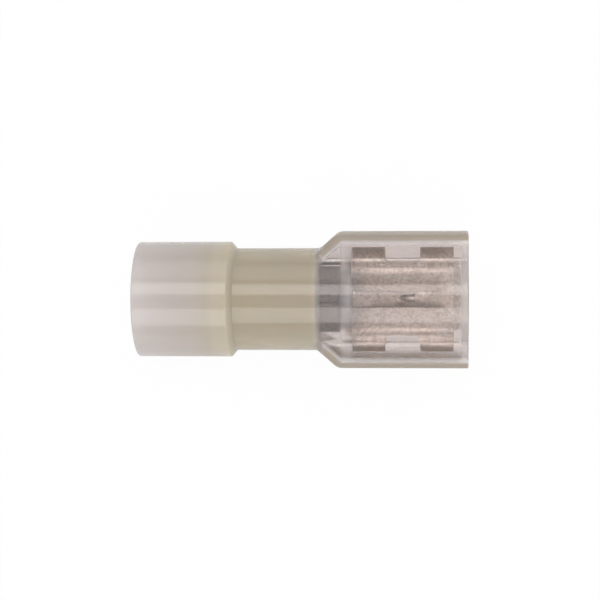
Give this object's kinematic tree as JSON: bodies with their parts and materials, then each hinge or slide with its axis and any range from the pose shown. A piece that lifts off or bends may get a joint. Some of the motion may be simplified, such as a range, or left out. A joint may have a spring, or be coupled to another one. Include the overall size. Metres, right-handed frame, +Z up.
{
  "type": "insulated female spade terminal",
  "caption": "Fully insulated female spade terminal: a rolled receptacle and crimp barrel with a support sleeve inside a clear one-piece moulded insulator.",
  "frame": {"origin": "centre of the wire entry, on the rear face of the insulator", "axes": "+X along the axis from the wire entry to the tab mouth, +Y across the flat box, +Z up; the part lies on its round side, with the rolls of the receptacle up and leaning 20 degrees toward -Y"},
  "size_m": [0.024, 0.0104, 0.0084],
  "materials": {
    "clear_nylon": "natural nylon, milky where it is thick and clear where it is thin",
    "tinned_metal": "satin tin plate with fine rolling and forming marks",
    "sleeve_brass": "plain drawn brass, satin"
  },
  "bodies": {
    "root": {"insulator": "clear_nylon", "terminal": "tinned_metal", "sleeve": "sleeve_brass"}
  },
  "joints": []
}
